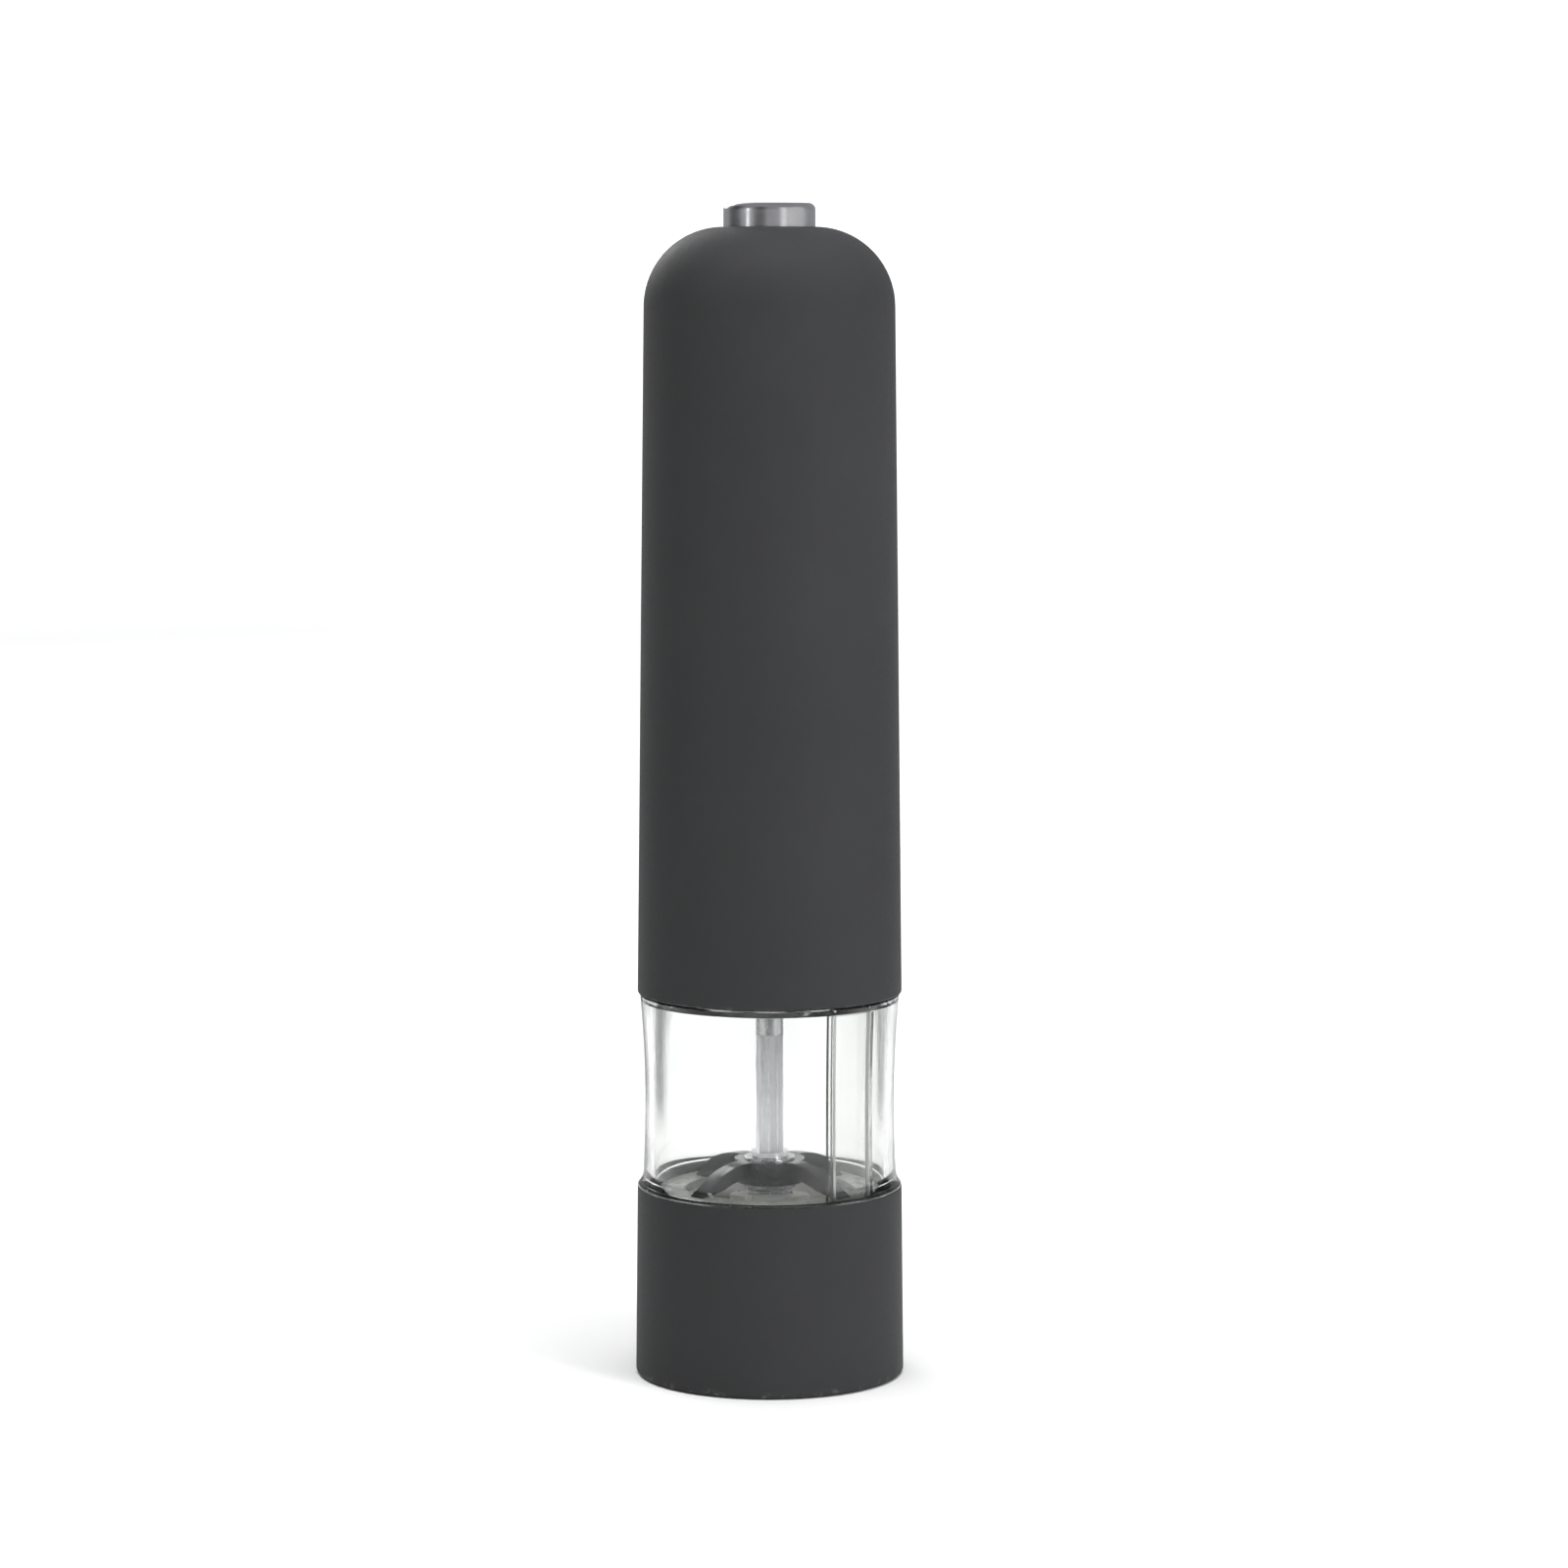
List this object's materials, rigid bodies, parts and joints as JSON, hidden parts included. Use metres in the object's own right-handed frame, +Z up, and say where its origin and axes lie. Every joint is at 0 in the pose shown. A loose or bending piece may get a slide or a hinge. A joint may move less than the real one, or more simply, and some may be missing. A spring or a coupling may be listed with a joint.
{
  "type": "battery pepper mill",
  "caption": "Slim battery pepper mill: matt black domed body with a chrome push button, clear pepper chamber with a drive shaft, and a black base with an adjustable ceramic burr.",
  "frame": {"origin": "centre of the foot, on the surface the mill stands on", "axes": "+Z up along the mill's axis, -Y towards the front, lamp duct at the front right (+X, -Y)"},
  "size_m": [0.0506, 0.0506, 0.22],
  "materials": {
    "soft_black": "soft-touch matt",
    "clear_jar": "clear, polished",
    "chrome": "polished",
    "shaft_steel": "satin",
    "bright_steel": "bright",
    "tinned_strip": "tinned",
    "ceramic_white": "fine ground",
    "plate_grey": "semi-gloss",
    "bridge_black": "gloss",
    "black_plastic": "fine texture",
    "gear_nylon": "moulded",
    "brass": "machined",
    "rubber": "matt",
    "motor_steel": "plated",
    "spring_steel": "drawn wire",
    "magnet": "sintered",
    "copper_iron": "enamelled winding",
    "cell_jacket": "printed sleeve",
    "wire_jacket": "PVC",
    "circuit_board": "solder resist",
    "led_clear": "clear epoxy"
  },
  "bodies": {
    "base": {"base_shell": "soft_black", "clear_jar": "clear_jar", "wire_duct": "clear_jar", "lamp_strips": "tinned_strip", "hopper_plate": "plate_grey", "grinder_bridge": "bridge_black", "shaft_bush": "bright_steel", "burr_ring": "ceramic_white", "burr_housing": "black_plastic", "housing_screws": "bright_steel", "lamp_led": "led_clear", "lamp_lens": "clear_jar"},
    "drive_shaft": {"drive_shaft": "shaft_steel", "shaft_ferrule": "motor_steel", "shaft_clip": "spring_steel", "rotor_spring": "spring_steel"},
    "burr_rotor": {"burr_rotor": "ceramic_white"},
    "adjust_knob": {"adjust_knob": "black_plastic"},
    "power_unit": {"chassis": "black_plastic", "jar_seal": "rubber", "cover_oring": "rubber", "gearbox_housing": "black_plastic", "chassis_screws": "bright_steel", "gearbox_lid": "black_plastic", "lid_screws": "bright_steel", "motor_can": "motor_steel", "motor_magnets": "magnet", "motor_end_cap": "black_plastic", "motor_terminals": "brass", "motor_board": "circuit_board", "motor_screws": "bright_steel", "motor_cage": "black_plastic", "battery_box": "black_plastic", "aa_cells": "cell_jacket", "contact_springs": "spring_steel", "contact_plates": "bright_steel", "switch_housing": "black_plastic", "lamp_pins": "brass", "wiring": "wire_jacket"},
    "motor_rotor": {"motor_shaft": "bright_steel", "sun_pinion": "brass", "armature": "copper_iron"},
    "middle_carrier": {"middle_carrier": "gear_nylon"},
    "output_carrier": {"output_carrier": "gear_nylon"},
    "cover": {"outer_cover": "soft_black", "button_retainer": "black_plastic", "button_spring": "spring_steel"},
    "button": {"push_button": "chrome"},
    "switch_plunger": {"switch_plunger": "gear_nylon"},
    "planet_a1": {"planet_a1": "gear_nylon"},
    "planet_a2": {"planet_a2": "gear_nylon"},
    "planet_a3": {"planet_a3": "gear_nylon"},
    "planet_b1": {"planet_b1": "gear_nylon"},
    "planet_b2": {"planet_b2": "gear_nylon"},
    "planet_b3": {"planet_b3": "gear_nylon"}
  },
  "joints": [
    {"name": "unit_lift", "type": "slide", "parent": "base", "child": "power_unit", "axis": [0, 0, 1], "range_m": [0, 0.06]},
    {"name": "cover_lift", "type": "slide", "parent": "power_unit", "child": "cover", "axis": [0, 0, 1], "range_m": [0, 0.135]},
    {"name": "button_press", "type": "slide", "parent": "cover", "child": "button", "axis": [0, 0, -1], "range_m": [0, 0.0025], "stiffness_N_per_m": 300, "springref_m": -0.001, "deforming": ["button_spring"]},
    {"name": "switch_press", "type": "slide", "parent": "power_unit", "child": "switch_plunger", "axis": [0, 0, -1], "range_m": [0, 0.0025]},
    {"name": "motor_spin", "type": "hinge", "parent": "power_unit", "child": "motor_rotor", "pos_m": [0, 0, 0.116], "axis": [0, 0, 1], "continuous": true},
    {"name": "middle_carrier_spin", "type": "hinge", "parent": "power_unit", "child": "middle_carrier", "pos_m": [0, 0, 0.0924], "axis": [0, 0, 1], "continuous": true},
    {"name": "output_spin", "type": "hinge", "parent": "power_unit", "child": "output_carrier", "pos_m": [0, 0, 0.0854], "axis": [0, 0, 1], "continuous": true},
    {"name": "shaft_spin", "type": "hinge", "parent": "base", "child": "drive_shaft", "pos_m": [0, 0, 0.0385], "axis": [0, 0, 1], "continuous": true},
    {"name": "burr_height", "type": "slide", "parent": "drive_shaft", "child": "burr_rotor", "axis": [0, 0, 1], "range_m": [-0.0007, 0.0007], "deforming": ["rotor_spring"]},
    {"name": "knob_turn", "type": "hinge", "parent": "burr_rotor", "child": "adjust_knob", "pos_m": [0, 0, 0.0075], "axis": [0, 0, 1], "range_deg": [-360, 360]},
    {"name": "planet_a1_spin", "type": "hinge", "parent": "middle_carrier", "child": "planet_a1", "pos_m": [0.009, 0, 0.0958], "axis": [0, 0, 1], "continuous": true},
    {"name": "planet_a2_spin", "type": "hinge", "parent": "middle_carrier", "child": "planet_a2", "pos_m": [-0.0045, 0.00779, 0.0958], "axis": [0, 0, 1], "continuous": true},
    {"name": "planet_a3_spin", "type": "hinge", "parent": "middle_carrier", "child": "planet_a3", "pos_m": [-0.0045, -0.00779, 0.0958], "axis": [0, 0, 1], "continuous": true},
    {"name": "planet_b1_spin", "type": "hinge", "parent": "output_carrier", "child": "planet_b1", "pos_m": [0.009, 0, 0.0888], "axis": [0, 0, 1], "continuous": true},
    {"name": "planet_b2_spin", "type": "hinge", "parent": "output_carrier", "child": "planet_b2", "pos_m": [-0.0045, 0.00779, 0.0888], "axis": [0, 0, 1], "continuous": true},
    {"name": "planet_b3_spin", "type": "hinge", "parent": "output_carrier", "child": "planet_b3", "pos_m": [-0.0045, -0.00779, 0.0888], "axis": [0, 0, 1], "continuous": true}
  ],
  "couplings": [
    {"joint": "switch_press", "follows": "button_press", "ratio": 1},
    {"joint": "middle_carrier_spin", "follows": "motor_spin", "ratio": 0.2},
    {"joint": "output_spin", "follows": "motor_spin", "ratio": 0.04},
    {"joint": "shaft_spin", "follows": "motor_spin", "ratio": 0.04},
    {"joint": "knob_turn", "follows": "burr_height", "rad_per_m": 8975.9},
    {"joint": "planet_a1_spin", "follows": "motor_spin", "ratio": -0.53333},
    {"joint": "planet_a2_spin", "follows": "motor_spin", "ratio": -0.53333},
    {"joint": "planet_a3_spin", "follows": "motor_spin", "ratio": -0.53333},
    {"joint": "planet_b1_spin", "follows": "motor_spin", "ratio": -0.10667},
    {"joint": "planet_b2_spin", "follows": "motor_spin", "ratio": -0.10667},
    {"joint": "planet_b3_spin", "follows": "motor_spin", "ratio": -0.10667}
  ]
}
